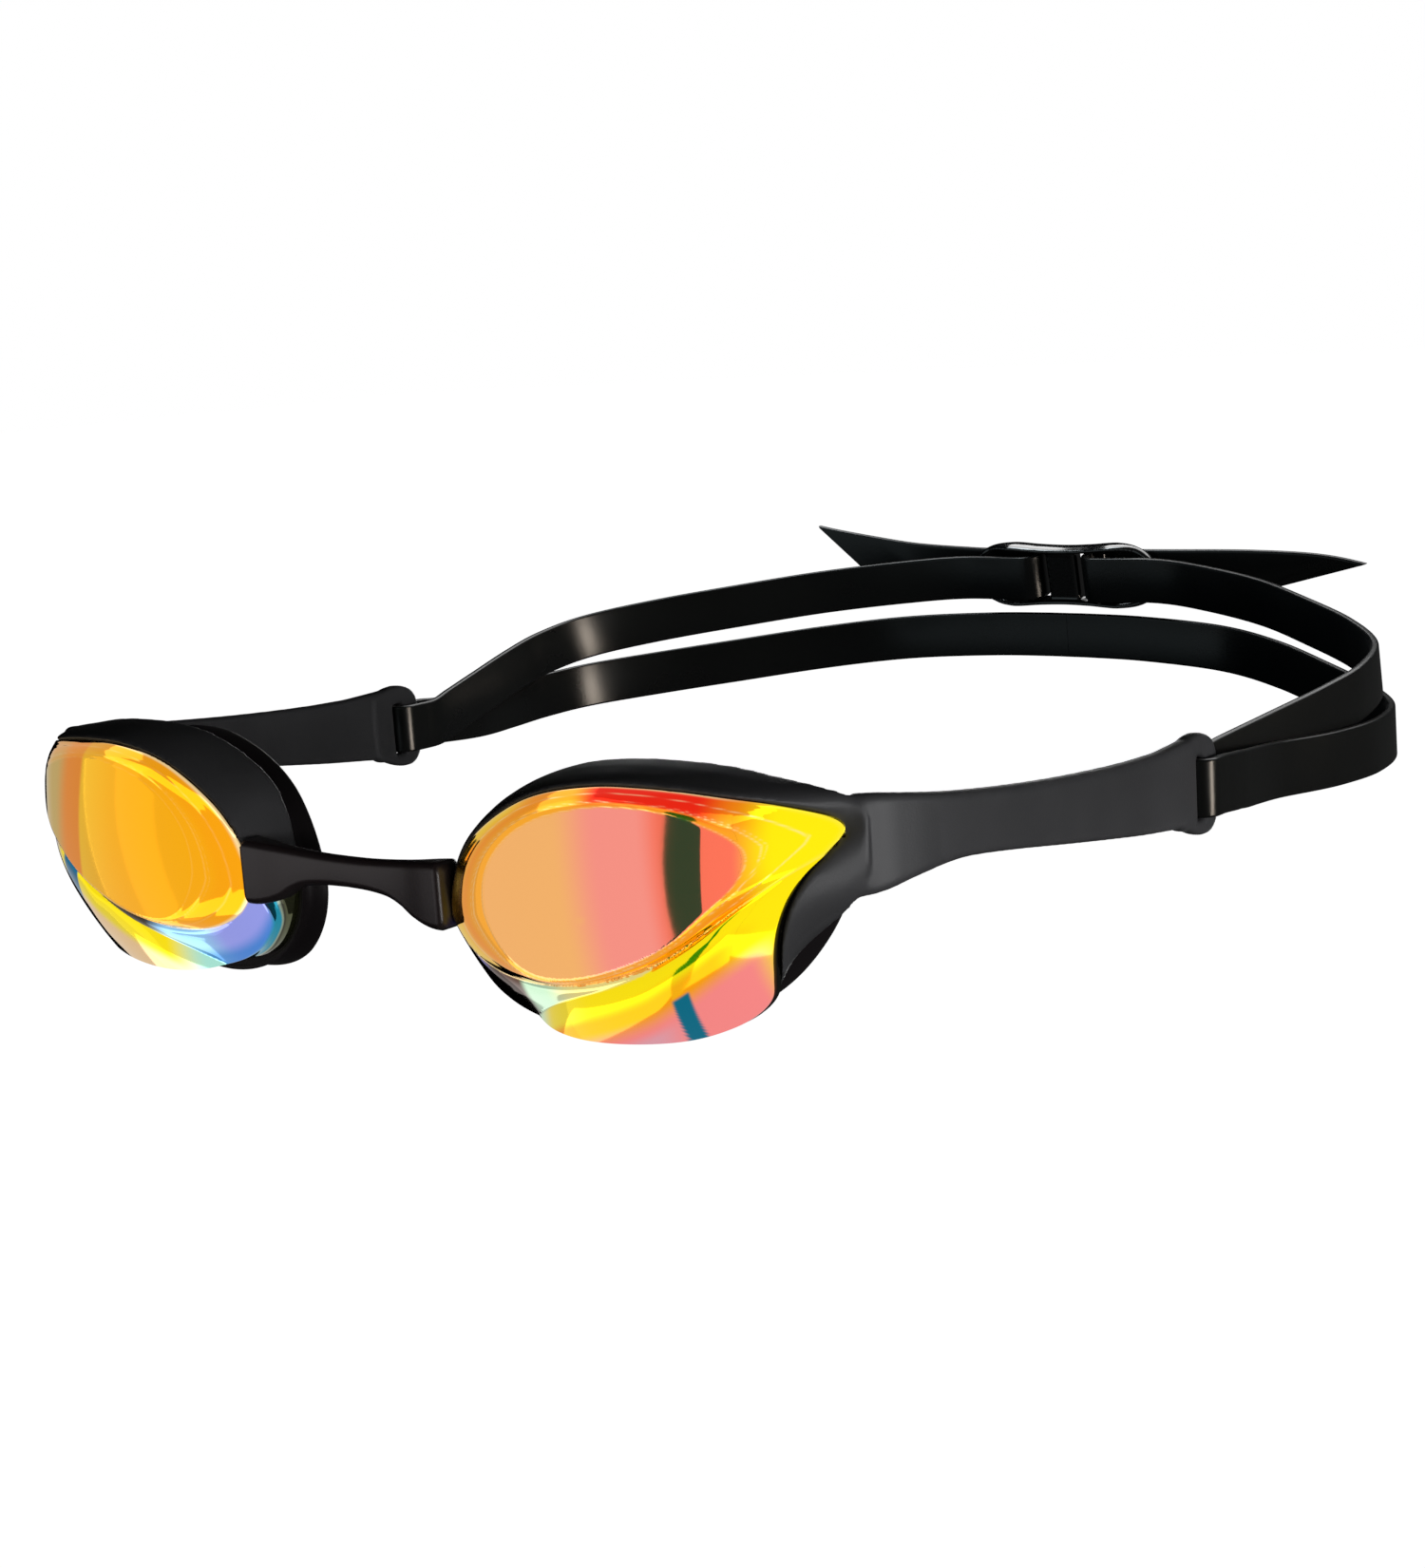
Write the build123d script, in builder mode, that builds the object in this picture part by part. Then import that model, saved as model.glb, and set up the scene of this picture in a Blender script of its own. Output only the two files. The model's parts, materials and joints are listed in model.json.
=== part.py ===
from build123d import *
from math import cos, radians, sin
import os

# Racing swim goggles, as they sit on a head: +X is the wearer's left, +Y the back of the head,
# +Z up. The origin is the middle of the nose bridge's rear face. The left-hand pieces are
# modelled, and the right-hand ones are their mirror image. Millimetres.

# Eyecups: a face plane turned outwards, and the depths of its parts along that plane's normal
CUP_TURN = 5.0
CUP_CENTRE = (44.0, -1.2, -1.2)
CUP_BASE = -9.0
SEAL_DEPTH = 6.0
LENS_WALL = 1.6
LENS_DOME = 4.0
TIP_SWEEP = 8.0
TIP_START = 14.0
CUP_HALF_LENGTH = 23.0
CUP_HALF_HEIGHT = 14.5

# Side arms and the strap bar at the end of each
ARM_THICK = 2.4
ARM_TOP = [(3.8, 12.6), (16, 11.4), (41, 8.2), (72, 5.9), (84.2, 6.0)]
ARM_BOTTOM = [(3.8, -0.6), (16, 1.7), (41, 0.3), (72, -4.3), (84.2, -6.9)]
ARM_TIP_RADIUS = 1.7
SLOT_FRONT = 78.6
SLOT_BACK = 82.6
SLOT_HEIGHT = 9.0
SLOT_MIDDLE_Z = -0.2
ARM_END_X = 75.3
ARM_END_Y = 86.0

# Strap: one flat silicone ribbon, in two bands that tilt about level lines behind the arms' ends
STRAP_WIDTH = 8.0
STRAP_THICK = 1.2
STRAP_GAP = 0.6
TILT_Y = 90.0
UPPER_TILT = 9.6
LOWER_TILT = 3.1
UPPER_Z = 0.3
LOWER_Z = -0.7
UPPER_BACK_Y = 174.2
LOWER_BACK_Y = 177.4
LOWER_SPREAD = 2.4
LOWER_SPLIT = 1.1
INNER_X = ARM_END_X - (ARM_THICK + STRAP_THICK) / 2 - STRAP_GAP
OUTER_X = ARM_END_X + (ARM_THICK + STRAP_THICK) / 2 + STRAP_GAP
TAIL_REACH = 57.0
TAIL_CUT = 10.0

# Strap buckle
BUCKLE_LENGTH = 40.0
BUCKLE_HEIGHT = 11.6
BUCKLE_THICK = 2.2
LAYER_GAP = 5.6
RIM_THICK = 5.2
WINDOW_HEIGHT = 9.3
SPINE = 5.0
BAR = 3.0
END_BAR = 3.2

# Nose bridge
BRIDGE_END = 18.0
BRIDGE_THICK = 2.6

face = Plane(
    origin=CUP_CENTRE,
    x_dir=(cos(radians(CUP_TURN)), sin(radians(CUP_TURN)), 0),
    z_dir=(sin(radians(CUP_TURN)), -cos(radians(CUP_TURN)), 0),
)
plan = Plane(origin=CUP_CENTRE, x_dir=face.x_dir, z_dir=(0, 0, -1))

os.makedirs("parts", exist_ok=True)


def save(piece, name):
    """Label a finished piece and write its STEP file."""
    piece.part.label = name
    export_step(piece.part, f"parts/{name}.step")


def save_pair(piece, name):
    """Write a left-hand piece and its mirror image for the right-hand side."""
    save(piece, f"{name}_left")
    with BuildPart() as right_hand:
        mirror(piece.part, about=Plane.YZ)
    save(right_hand, f"{name}_right")


def crown(u):
    """Height of the lens's front face over the face plane at a distance u outwards from its middle."""
    sweep = max(0.0, (u - TIP_START) / TIP_START)
    return LENS_DOME * (1 - (u / 26) ** 2) - TIP_SWEEP * sweep**2


def under_crown(depth):
    """Plan-view region behind the lens's front face, set back by a depth."""
    points = [(u, crown(u) - depth) for u in range(-30, 33, 7)]
    with BuildSketch() as outline:
        with BuildLine():
            Spline(*points)
            Polyline(points[-1], (33, -30), (-30, -30), points[0])
        make_face()
    return outline.sketch


def lens_outline():
    """Front outline: smooth over the brow, a swept tip, and a wing below the tip."""
    with BuildSketch() as outline:
        with BuildLine():
            Spline((-25.6, -2), (-23.3, 4.5), (-14.2, 11.8), (-1.4, 15.1), (10.5, 14.9), (20, 13.5), (26.5, 10.4))
            Spline((26.5, 10.4), (22.2, 3.2), (20, -3.2), (18.4, -9.1))
            Spline((18.4, -9.1), (7.7, -15), (-5.1, -16), (-13.9, -15), (-21.9, -12), (-25.2, -7.5), (-25.6, -2))
        make_face()
    return outline.sketch


def cup_outline(inset=0.0):
    """Outline of the cup's wall, a rounded oval inside the front outline, drawn in by an inset."""
    points = [(-25.4, -3), (-19.6, 8), (-8, 13.6), (6, 14.2), (17, 10.6), (20.6, 3), (16, -7),
              (4, -14), (-10, -15), (-20.5, -12)]
    across = 1 - inset / CUP_HALF_LENGTH
    upright = 1 - inset / CUP_HALF_HEIGHT
    with BuildSketch() as outline:
        with BuildLine():
            Spline(*[(u * across, v * upright) for u, v in points], periodic=True)
        make_face()
    return outline.sketch


def frame_outline():
    """Outline of the frame: outside the cup over the brow and temple, inside it beside the nose."""
    with BuildSketch() as outline:
        with BuildLine():
            Spline(
                (-20, 2), (-24.6, 8.6), (-13.6, 14.9), (0, 17.3), (12, 16.8), (23, 15.2),
                (29, 12), (29.2, 4), (25, -0.6), (17.6, -8.6), (7, -15), (-6, -14.6), (-12, -6),
                periodic=True,
            )
        make_face()
    return outline.sketch


def seal_outline(grow=0.0):
    """Outline of the soft seal round the eye socket."""
    with BuildSketch() as outline:
        with BuildLine():
            Spline(
                (-26.6 - grow, -4), (-21, 9 + grow), (-7, 15.4 + grow), (8, 15.8 + grow), (20, 11.4 + grow),
                (23.4 + grow, 3), (18, -8 - grow), (5, -15.6 - grow), (-10, -16.2 - grow), (-21, -12.6 - grow),
                periodic=True,
            )
        make_face()
    return outline.sketch


# Lens: a moulded front plate with its wing, and a cup wall behind it
with BuildPart() as lens_plate:
    with BuildSketch(face.offset(-20)):
        add(lens_outline())
    extrude(amount=30)
    with BuildSketch(plan.offset(-30)):
        add(under_crown(0))
    extrude(amount=60, mode=Mode.INTERSECT)
    with BuildSketch(plan.offset(-30)):
        add(under_crown(LENS_WALL))
    extrude(amount=60, mode=Mode.SUBTRACT)

with BuildPart() as lens:
    with BuildSketch(face.offset(CUP_BASE)):
        add(cup_outline())
        add(cup_outline(LENS_WALL), mode=Mode.SUBTRACT)
    extrude(amount=LENS_DOME - CUP_BASE + 1)
    with BuildSketch(plan.offset(-30)):
        add(under_crown(0))
    extrude(amount=60, mode=Mode.INTERSECT)
    add(lens_plate.part)
save_pair(lens, "lens")

# Frame: a rigid rim behind the plate and round the cup, running into the side arm
with BuildPart() as cup_room:
    with BuildSketch(face.offset(CUP_BASE - 20)):
        add(cup_outline())
    extrude(amount=50)

with BuildPart() as frame:
    with BuildSketch(face.offset(CUP_BASE)):
        add(frame_outline())
    extrude(amount=LENS_DOME - CUP_BASE)
    with BuildSketch(plan.offset(-30)):
        add(under_crown(LENS_WALL))
    extrude(amount=60, mode=Mode.INTERSECT)
    add(cup_room.part, mode=Mode.SUBTRACT)

with BuildPart() as arm:
    with BuildSketch(Plane.XY.offset(-30)):
        with BuildLine():
            Spline((66.5, 5.2), (69.6, 8.8), (72.6, 14), (74.8, 24), (75.8, 40), (75.8, 60), (ARM_END_X, ARM_END_Y))
        trace(line_width=ARM_THICK)
    extrude(amount=60)
    with BuildSketch(Plane.YZ.offset(60)):
        with BuildLine():
            Spline(*ARM_TOP)
            Spline(*ARM_BOTTOM)
            Line(ARM_TOP[0], ARM_BOTTOM[0])
            Line(ARM_TOP[-1], ARM_BOTTOM[-1])
        make_face()
        with Locations((ARM_TOP[-1][0], (ARM_TOP[-1][1] + ARM_BOTTOM[-1][1]) / 2)):
            RectangleRounded(2 * (ARM_END_Y - ARM_TOP[-1][0]), ARM_TOP[-1][1] - ARM_BOTTOM[-1][1], ARM_TIP_RADIUS)
        with Locations(((SLOT_FRONT + SLOT_BACK) / 2, SLOT_MIDDLE_Z)):
            RectangleRounded(SLOT_BACK - SLOT_FRONT, SLOT_HEIGHT, 1.2, mode=Mode.SUBTRACT)
    extrude(amount=30, mode=Mode.INTERSECT)

with BuildPart() as arm_clear:
    add(arm.part)
    add(cup_room.part, mode=Mode.SUBTRACT)
    add(lens.part, mode=Mode.SUBTRACT)

with BuildPart() as frame_and_arm:
    add(frame.part)
    add(arm_clear.part)
save_pair(frame_and_arm, "frame")

# Seal: a soft ring behind the frame, flaring towards the face
with BuildPart() as seal_hollow:
    with BuildSketch(face.offset(CUP_BASE)):
        add(cup_outline(LENS_WALL))
    extrude(amount=-SEAL_DEPTH - 1)

with BuildPart() as seal:
    with BuildSketch(face.offset(CUP_BASE)):
        add(seal_outline())
    with BuildSketch(face.offset(CUP_BASE - SEAL_DEPTH)):
        add(seal_outline(1.6))
    loft()
    add(seal_hollow.part, mode=Mode.SUBTRACT)
save_pair(seal, "gasket")

# Nose bridge: a thin waist that widens to a hook beside each lens
with BuildPart() as nose_bridge:
    with BuildSketch(Plane.XY.offset(-12)):
        with BuildLine():
            Spline((-BRIDGE_END, 0.0), (-8, 0.15), (0, 0), (8, 0.15), (BRIDGE_END, 0.0))
            Spline((BRIDGE_END, -3.2), (8, -2.6), (0, -BRIDGE_THICK), (-8, -2.6), (-BRIDGE_END, -3.2))
            Line((-BRIDGE_END, 0.0), (-BRIDGE_END, -3.2))
            Line((BRIDGE_END, -3.2), (BRIDGE_END, 0.0))
        make_face()
    extrude(amount=24)
    with BuildSketch(Plane.XZ.offset(-10)):
        with BuildLine():
            Spline((-BRIDGE_END, 3.0), (-8, 2.2), (0, 1.9), (8, 2.2), (BRIDGE_END, 3.0))
            Spline((BRIDGE_END, -5.4), (8, -2.6), (0, -2.0), (-8, -2.6), (-BRIDGE_END, -5.4))
            Line((-BRIDGE_END, 3.0), (-BRIDGE_END, -5.4))
            Line((BRIDGE_END, -5.4), (BRIDGE_END, 3.0))
        make_face()
    extrude(amount=20, mode=Mode.INTERSECT)
save(nose_bridge, "nose_bridge")

# Strap loop: the ribbon passes out through the slot and back round the bar at the arm's end
LOOP_FRONT_Y = SLOT_BACK - STRAP_GAP - STRAP_THICK
LOOP_BACK_Y = TILT_Y - STRAP_WIDTH / 2 - STRAP_GAP

with BuildPart() as strap_loop:
    with BuildSketch(Plane.XY.offset(SLOT_MIDDLE_Z - STRAP_WIDTH / 2)):
        with BuildLine():
            FilletPolyline(
                (INNER_X, LOOP_BACK_Y), (INNER_X, LOOP_FRONT_Y), (OUTER_X, LOOP_FRONT_Y),
                (OUTER_X, LOOP_BACK_Y), radius=1.5,
            )
        trace(line_width=STRAP_THICK)
    extrude(amount=STRAP_WIDTH)
save_pair(strap_loop, "strap_loop")


def band_plane(angle, height):
    """Plane of a band: it passes through its tilt line and rises towards the back."""
    return Plane(
        origin=(0, TILT_Y, height),
        x_dir=(1, 0, 0),
        z_dir=(0, -sin(radians(angle)), cos(radians(angle))),
    )


def band_side(plane):
    """Side view of a band with its front end rounded about the tilt line."""
    return Plane(origin=plane.origin, x_dir=plane.y_dir, z_dir=(1, 0, 0))


def head_curve(start, spread, run):
    """Points of a band's route round the head: distances out to the side and back from the tilt line."""
    route = [(75.8, 0.14), (78.8, 0.29), (80.0, 0.41), (77.6, 0.53), (69.1, 0.65), (57.2, 0.767),
             (44.6, 0.876), (31.0, 0.957)]
    return [(start, 0)] + [(x + spread, part * run) for x, part in route]


upper_plane = band_plane(UPPER_TILT, UPPER_Z)
lower_plane = band_plane(LOWER_TILT, LOWER_Z)
upper_run = (UPPER_BACK_Y - TILT_Y) / cos(radians(UPPER_TILT))
lower_run = (LOWER_BACK_Y - TILT_Y) / cos(radians(LOWER_TILT))
tail_run = upper_run + LAYER_GAP
bar_inner_x = SPINE / 2 + (BUCKLE_LENGTH / 2 - SPINE / 2 - BAR - END_BAR) / 2
turn_x = bar_inner_x + 0.3
band_start = -STRAP_WIDTH / 2

# Upper band: flat against the head, then out through the buckle's inner window and back round its bar
with BuildPart() as upper_band:
    with BuildSketch(upper_plane.offset(-STRAP_WIDTH / 2)):
        with BuildLine():
            Line((INNER_X, band_start), (INNER_X, 0))
            Spline(*head_curve(INNER_X, 0, upper_run), (20, upper_run), tangents=((0, 1), (-1, 0)))
            Line((20, upper_run), (turn_x, upper_run))
            JernArc(start=(turn_x, upper_run), tangent=(-1, 0), radius=LAYER_GAP / 2, arc_size=-180)
            Line((turn_x, tail_run), (bar_inner_x + BAR, tail_run))
        trace(line_width=STRAP_THICK)
    extrude(amount=STRAP_WIDTH)
    with BuildSketch(band_side(upper_plane)):
        Circle(STRAP_WIDTH / 2)
        with Locations((upper_run, 0)):
            Rectangle(2 * upper_run, STRAP_WIDTH)
    extrude(amount=100, mode=Mode.INTERSECT)
save_pair(upper_band, "upper_band")

# Tail: the ribbon's spare end, which leaves the buckle outwards and is cut on the slant
with BuildPart() as strap_tail:
    with BuildSketch(upper_plane.offset(-STRAP_WIDTH / 2)):
        with BuildLine():
            Line((bar_inner_x + BAR, tail_run), (20, tail_run))
            Spline((20, tail_run), (30, tail_run + 1.3), (TAIL_REACH, tail_run + 6), tangents=((1, 0), (1, 0.15)))
        trace(line_width=STRAP_THICK)
    extrude(amount=STRAP_WIDTH)
    with BuildSketch(Plane(origin=upper_plane.origin, x_dir=(1, 0, 0), z_dir=-upper_plane.y_dir)):
        Polygon(
            (0, -STRAP_WIDTH), (TAIL_REACH - TAIL_CUT * 1.5, -STRAP_WIDTH),
            (TAIL_REACH + TAIL_CUT / 2, STRAP_WIDTH), (0, STRAP_WIDTH), align=None,
        )
    extrude(amount=-200, mode=Mode.INTERSECT)
save_pair(strap_tail, "strap_tail")

# Lower band: runs round the back just outside and below the upper one, in two halves
with BuildPart() as lower_band:
    with BuildSketch(lower_plane.offset(-STRAP_WIDTH / 2)):
        with BuildLine():
            Line((OUTER_X, band_start), (OUTER_X, 0))
            Spline(
                *head_curve(OUTER_X, LOWER_SPREAD, lower_run), (16, 0.993 * lower_run),
                (LOWER_SPLIT / 2, lower_run), tangents=((0, 1), (-1, 0)),
            )
        trace(line_width=STRAP_THICK)
    extrude(amount=STRAP_WIDTH)
    with BuildSketch(band_side(lower_plane)):
        Circle(STRAP_WIDTH / 2)
        with Locations((lower_run, 0)):
            Rectangle(2 * lower_run, STRAP_WIDTH)
    extrude(amount=100, mode=Mode.INTERSECT)
save_pair(lower_band, "lower_band")

# Buckle: one moulded frame with a centre spine, two bars, two end bars and raised long rims
buckle_middle = upper_plane.origin + upper_plane.y_dir * (upper_run + LAYER_GAP / 2)
buckle_plane = Plane(origin=buckle_middle, x_dir=(1, 0, 0), z_dir=-upper_plane.y_dir)
window = bar_inner_x - SPINE / 2

with BuildPart() as buckle:
    with BuildSketch(buckle_plane):
        RectangleRounded(BUCKLE_LENGTH, BUCKLE_HEIGHT, 2.4)
    extrude(amount=RIM_THICK / 2, both=True)
    with BuildSketch(buckle_plane.offset(-RIM_THICK)):
        Rectangle(2 * BUCKLE_LENGTH, WINDOW_HEIGHT)
    extrude(amount=RIM_THICK - BUCKLE_THICK / 2, mode=Mode.SUBTRACT)
    with BuildSketch(buckle_plane.offset(BUCKLE_THICK / 2)):
        Rectangle(2 * BUCKLE_LENGTH, WINDOW_HEIGHT)
    extrude(amount=RIM_THICK, mode=Mode.SUBTRACT)
    with BuildSketch(buckle_plane.offset(-RIM_THICK)):
        for side in (-1, 1):
            with Locations(
                (side * (SPINE + window) / 2, 0),
                (side * (bar_inner_x + BAR + window / 2), 0),
            ):
                Rectangle(window, WINDOW_HEIGHT)
    extrude(amount=2 * RIM_THICK, mode=Mode.SUBTRACT)
save(buckle, "buckle")
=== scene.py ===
import json
import bmesh
import bpy
import numpy as np
from mathutils import Matrix, Vector

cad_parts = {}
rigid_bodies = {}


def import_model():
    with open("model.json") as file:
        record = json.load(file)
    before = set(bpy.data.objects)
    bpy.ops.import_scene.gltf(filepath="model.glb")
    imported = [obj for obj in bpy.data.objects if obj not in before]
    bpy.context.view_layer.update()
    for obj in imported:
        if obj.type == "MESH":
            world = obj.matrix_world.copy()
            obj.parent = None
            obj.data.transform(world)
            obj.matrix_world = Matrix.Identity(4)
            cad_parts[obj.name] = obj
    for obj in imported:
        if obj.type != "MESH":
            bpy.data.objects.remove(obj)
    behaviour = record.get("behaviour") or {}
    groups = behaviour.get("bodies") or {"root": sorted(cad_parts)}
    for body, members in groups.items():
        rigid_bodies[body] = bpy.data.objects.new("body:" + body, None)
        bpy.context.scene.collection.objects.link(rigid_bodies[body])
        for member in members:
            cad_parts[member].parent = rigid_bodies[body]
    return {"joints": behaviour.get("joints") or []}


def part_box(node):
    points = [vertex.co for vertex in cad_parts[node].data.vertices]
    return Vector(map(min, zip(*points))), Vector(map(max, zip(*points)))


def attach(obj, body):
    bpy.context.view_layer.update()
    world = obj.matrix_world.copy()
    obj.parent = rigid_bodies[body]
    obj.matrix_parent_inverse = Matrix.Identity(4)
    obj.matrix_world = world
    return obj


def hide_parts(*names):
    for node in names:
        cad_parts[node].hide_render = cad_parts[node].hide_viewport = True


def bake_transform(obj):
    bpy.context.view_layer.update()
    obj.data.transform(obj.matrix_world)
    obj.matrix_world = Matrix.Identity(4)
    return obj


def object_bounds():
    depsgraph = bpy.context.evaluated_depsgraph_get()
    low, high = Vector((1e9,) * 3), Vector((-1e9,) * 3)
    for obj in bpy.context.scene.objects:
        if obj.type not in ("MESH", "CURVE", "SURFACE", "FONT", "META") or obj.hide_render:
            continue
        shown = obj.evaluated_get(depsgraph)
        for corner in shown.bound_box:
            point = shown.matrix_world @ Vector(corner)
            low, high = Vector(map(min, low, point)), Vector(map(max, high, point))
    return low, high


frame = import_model()
cad_bounds = [list(corner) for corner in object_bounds()]

# ---------------------------------------------------------------------------------------------
# Lenses. Each is one polycarbonate moulding: a crowned oval window and a wing swept back to the
# temple, mirror-coated in front, on a clear wall that runs back to the seal.
# ---------------------------------------------------------------------------------------------
MM = 0.001
SIDES = (("left", 1), ("right", -1))
CUP_TURN = np.radians(5.0)
ACROSS = np.array([np.cos(CUP_TURN), np.sin(CUP_TURN), 0.0])
FORWARD = np.array([np.sin(CUP_TURN), -np.cos(CUP_TURN), 0.0])
UP = np.array([0.0, 0.0, 1.0])
cup_middle = np.array(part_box("lens_left")[0]) / MM + (26.15, 4.31, 16.08)


def in_cup(u, v, w):
    """A place on the left eyecup in millimetres: u outwards along the turned face, v up, w forwards."""
    u, v, w = np.broadcast_arrays(u, v, w)
    return cup_middle + u[..., None] * ACROSS + v[..., None] * UP + w[..., None] * FORWARD


def through(points, count, closed=True):
    """Smooth curve through points: on each stretch a cubic whose end slopes are half the difference
    between the neighbours on either side. Points are evenly numbered along the curve."""
    points = np.asarray(points, float)
    size = len(points)
    place = np.linspace(0, size if closed else size - 1, count, endpoint=not closed)
    left = np.minimum(place.astype(int), size - 1 if closed else size - 2)
    t = (place - left)[:, None]
    padded = points if closed else np.vstack([2 * points[0] - points[1], points, 2 * points[-1] - points[-2]])
    step = 0 if closed else 1
    before, start, end, after = (padded[(left + shift + step) % len(padded)] for shift in (-1, 0, 1, 2))
    return start + 0.5 * t * (end - before + t * (2 * before - 5 * start + 4 * end - after
                                                  + t * (3 * (start - end) + after - before)))


def height_along(u, points):
    """Height of a smooth line over u, read off a curve through the points."""
    line = through(points, 400, closed=False)
    return np.interp(u, line[:, 0], line[:, 1])


def add_mesh(name, points, faces, side=1):
    """A smooth-shaded mesh from millimetre points on the left side, mirrored when side is -1."""
    place = np.asarray(points, float).reshape(-1, 3) * (side, 1, 1) * MM
    if side < 0:
        faces = [face[::-1] for face in faces]
    mesh = bpy.data.meshes.new(name)
    mesh.from_pydata(place.tolist(), [], faces)
    shape = bmesh.new()
    shape.from_mesh(mesh)
    bmesh.ops.recalc_face_normals(shape, faces=shape.faces)
    shape.to_mesh(mesh)
    shape.free()
    mesh.polygons.foreach_set("use_smooth", np.ones(len(mesh.polygons), bool))
    mesh.set_sharp_from_angle(angle=np.radians(55))
    piece = bpy.data.objects.new(name, mesh)
    bpy.context.scene.collection.objects.link(piece)
    return piece


def grid_faces(rows, columns, wrap_rows=False, wrap_columns=True, caps=False):
    """Quads between neighbouring rows and columns of a grid; caps close the first and last row."""
    r = np.arange(rows if wrap_rows else rows - 1)[:, None]
    c = np.arange(columns if wrap_columns else columns - 1)[None, :]
    r, c = np.broadcast_arrays(r, c)
    next_r, next_c = (r + 1) % rows, (c + 1) % columns
    this_row, next_row = r * columns, next_r * columns
    quads = np.stack([this_row + c, this_row + next_c, next_row + next_c, next_row + c], -1)
    faces = quads.reshape(-1, 4).tolist()
    if caps:
        faces.append(list(range(columns))[::-1])
        faces.append([(rows - 1) * columns + i for i in range(columns)])
    return faces


LENS_OUTLINE = [
    (-25.6, -1.5), (-24.9, 1.4), (-23.2, 4.8), (-19.8, 8.4), (-14.2, 11.9), (-8.5, 14.0), (-1.4, 15.1),
    (4.5, 15.2), (10.5, 14.9), (16.0, 14.3), (20.5, 13.4), (24.3, 12.0), (26.2, 10.8), (26.6, 9.5),
    (25.4, 7.6), (23.6, 5.4), (22.2, 3.0), (20.9, -0.2), (19.9, -3.6), (19.1, -6.8), (18.2, -9.4),
    (16.4, -11.5), (13.6, -13.2), (9.0, -14.7), (2.5, -15.6), (-5.0, -16.0), (-11.0, -15.7),
    (-15.0, -14.9), (-19.0, -13.6), (-22.3, -11.6), (-24.7, -8.6), (-25.6, -5.2),
]
CREASE = [
    (-26.5, -1.2), (-25.2, -3.6), (-22.8, -6.4), (-19.0, -8.3), (-14.3, -9.2), (-8.8, -9.2), (-3.0, -8.3),
    (2.6, -6.7), (7.1, -4.8), (11.2, -2.4), (15.7, 0.8), (19.2, 3.4), (22.4, 5.6), (27.0, 8.4),
]
WING_TOP = [
    (-27.0, -23.0), (-21.0, -18.8), (-17.0, -16.0), (-13.6, -13.9), (-10.2, -12.1), (-6.1, -10.5),
    (-2.0, -9.15), (1.6, -7.8), (5.0, -6.3), (8.0, -4.5), (11.2, -2.5), (15.7, 0.8), (19.2, 3.4),
    (22.4, 5.6), (27.0, 8.4),
]
FLAT_ZONE = [
    (-17.0, 1.2), (-15.9, 5.2), (-12.5, 8.8), (-7.6, 11.3), (-1.2, 12.8), (4.6, 13.1), (10.2, 12.5),
    (14.6, 11.2), (17.4, 9.6), (18.6, 7.6), (17.4, 4.8), (14.0, 1.6), (9.8, -1.9), (4.2, -4.8),
    (-3.0, -7.2), (-9.0, -7.8), (-13.2, -6.4), (-16.0, -3.0),
]
LENS_CROWN, TIP_SWEEP, TIP_START, BROW_FALL = 3.8, 8.0, 14.0, 1.9
FACET_SLOPE, WING_SLOPE, WING_FALL = 0.85, 0.10, 0.028
RIM_DROP = 1.5
RIM_STEPS, RIM_STEP, RIM_STEP_EASE = (0.10, 0.34, 0.72), 0.022, 0.022
CUP_BASE = -8.9
EDGE_LIP, LENS_THICK = 1.5, 1.7
LENS_ANGLES, LENS_RINGS = 420, 110


def edge_distance(u, v, curve):
    """Shortest distance from each place to a closed curve given by close points."""
    flat = np.stack([u.ravel(), v.ravel()], 1)
    nearest = [np.linalg.norm(part[:, None] - curve[None], axis=2).min(1)
               for part in np.array_split(flat, 60)]
    return np.concatenate(nearest).reshape(u.shape)


def lens_front(u, v, rim_share):
    """Height of the front: a shallow crown that sweeps back at the tip and rolls over at its rim. Below the
    crease it falls away as a facet, and the wing grows out of the facet and falls off towards its edge."""
    sweep = np.maximum(0, (u - TIP_START) / TIP_START)
    crown = LENS_CROWN * (1 - (u / 26) ** 2) - TIP_SWEEP * sweep**2
    crease, wing_top = height_along(u, CREASE), height_along(u, WING_TOP)
    window_v = np.maximum(v, crease)
    window = crown - BROW_FALL * ((window_v - 1) / 15) ** 2 - RIM_DROP * (1 - rim_share) ** 2.2
    rim_steps = sum(np.tanh((1 - rim_share - place) / RIM_STEP_EASE) for place in RIM_STEPS)
    window = window - RIM_STEP * (rim_steps + len(RIM_STEPS))
    facet = window - FACET_SLOPE * np.maximum(0, crease - np.maximum(v, wing_top))
    below = np.maximum(0, wing_top - v)
    return facet - WING_SLOPE * below - WING_FALL * below**2


def mix(base, other, share):
    """Each colour moved towards another by its share from 0 to 1."""
    return base + (np.array(other) - base) * np.clip(share, 0, 1)[..., None]


def ramp(value, low, high):
    """Smooth step from 0 below low to 1 above high."""
    t = np.clip((value - low) / (high - low), 0, 1)
    return t * t * (3 - 2 * t)


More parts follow.
